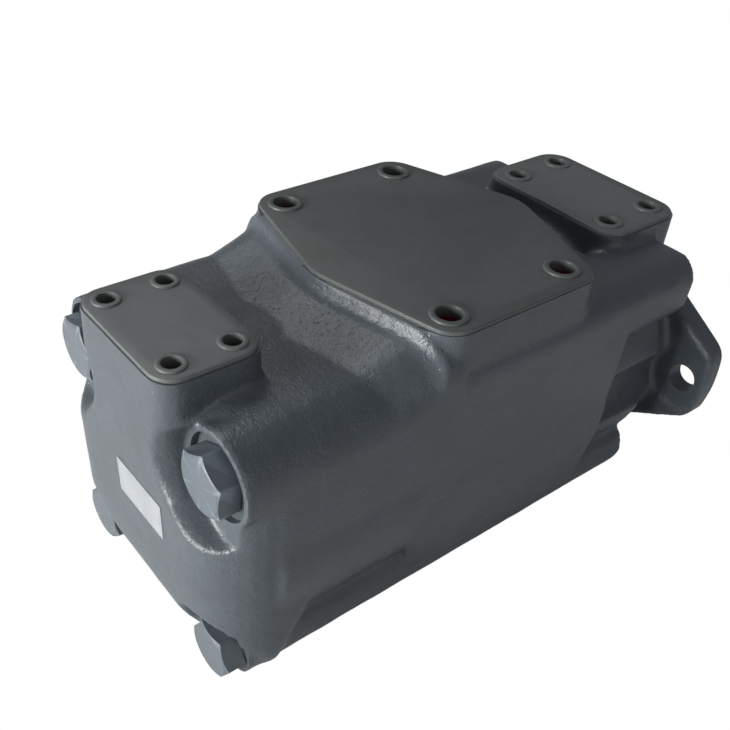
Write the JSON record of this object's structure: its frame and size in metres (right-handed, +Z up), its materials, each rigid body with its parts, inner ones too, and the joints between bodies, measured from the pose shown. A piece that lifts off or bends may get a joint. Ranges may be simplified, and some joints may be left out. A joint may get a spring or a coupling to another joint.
{
  "type": "hydraulic vane pump",
  "caption": "Tandem cartridge vane pump with a flanged drive end, keyed shaft, one large suction port and two smaller pressure ports on top, each closed by a push-on cover.",
  "frame": {"origin": "centre of the mounting face, on the shaft axis", "axes": "+X along the shaft out of the drive end, +Z up out of the ports, the long sides face -Y and +Y"},
  "size_m": [0.4111, 0.212, 0.1813],
  "materials": {
    "painted_iron": "satin charcoal paint over a sand-cast surface",
    "painted_steel": "satin charcoal paint",
    "painted_plastic": "red plastic under satin charcoal overspray",
    "black_steel": "black oxide",
    "machined_steel": "ground",
    "hardened_steel": "ground and polished",
    "ground_iron": "ground",
    "spring_steel": "phosphated",
    "bronze": "machined",
    "rubber": "smooth"
  },
  "bodies": {
    "pump_body": {"mounting_cap": "painted_iron", "centre_housing": "painted_iron", "end_cap": "painted_iron", "rear_housing_bolts": "painted_steel", "front_housing_bolts": "black_steel", "front_housing_seal": "rubber", "rear_housing_seal": "rubber", "bearing_outer_race": "hardened_steel", "bearing_retaining_ring": "spring_steel", "shaft_seal": "rubber", "rear_bush": "bronze", "p1_cam_ring": "hardened_steel", "p1_pressure_plate": "ground_iron", "p1_port_plate": "ground_iron", "p1_dowels": "hardened_steel", "p1_cartridge_screws": "black_steel", "p1_hub_seal": "rubber", "p2_cam_ring": "hardened_steel", "p2_pressure_plate": "ground_iron", "p2_port_plate": "ground_iron", "p2_dowels": "hardened_steel", "p2_cartridge_screws": "black_steel", "p2_hub_seal": "rubber"},
    "drive_shaft": {"shaft": "machined_steel", "shaft_key": "machined_steel", "bearing_inner_race": "hardened_steel", "shaft_retaining_ring": "spring_steel", "p1_rotor": "hardened_steel", "p2_rotor": "hardened_steel", "p1_vane_01": "hardened_steel", "p1_vane_02": "hardened_steel", "p1_vane_03": "hardened_steel", "p1_vane_04": "hardened_steel", "p1_vane_05": "hardened_steel", "p1_vane_06": "hardened_steel", "p1_vane_07": "hardened_steel", "p1_vane_08": "hardened_steel", "p1_vane_09": "hardened_steel", "p1_vane_10": "hardened_steel", "p2_vane_01": "hardened_steel", "p2_vane_02": "hardened_steel", "p2_vane_03": "hardened_steel", "p2_vane_04": "hardened_steel", "p2_vane_05": "hardened_steel", "p2_vane_06": "hardened_steel", "p2_vane_07": "hardened_steel", "p2_vane_08": "hardened_steel", "p2_vane_09": "hardened_steel", "p2_vane_10": "hardened_steel"},
    "roller_cage": {"bearing_rollers": "hardened_steel", "bearing_cage": "bronze"},
    "suction_cover": {"suction_port_cover": "painted_plastic"},
    "p1_cover": {"p1_port_cover": "painted_plastic"},
    "p2_cover": {"p2_port_cover": "painted_plastic"}
  },
  "joints": [
    {"name": "shaft_spin", "type": "hinge", "parent": "pump_body", "child": "drive_shaft", "pos_m": [0, 0, 0], "axis": [1, 0, 0], "continuous": true},
    {"name": "cage_spin", "type": "hinge", "parent": "pump_body", "child": "roller_cage", "pos_m": [0, 0, 0], "axis": [1, 0, 0], "continuous": true},
    {"name": "suction_cover_lift", "type": "slide", "parent": "pump_body", "child": "suction_cover", "axis": [0, 0, 1], "range_m": [0, 0.25]},
    {"name": "p1_cover_lift", "type": "slide", "parent": "pump_body", "child": "p1_cover", "axis": [0, 0, 1], "range_m": [0, 0.25]},
    {"name": "p2_cover_lift", "type": "slide", "parent": "pump_body", "child": "p2_cover", "axis": [0, 0, 1], "range_m": [0, 0.25]}
  ],
  "couplings": [
    {"joint": "cage_spin", "follows": "shaft_spin", "ratio": 0.41667}
  ]
}
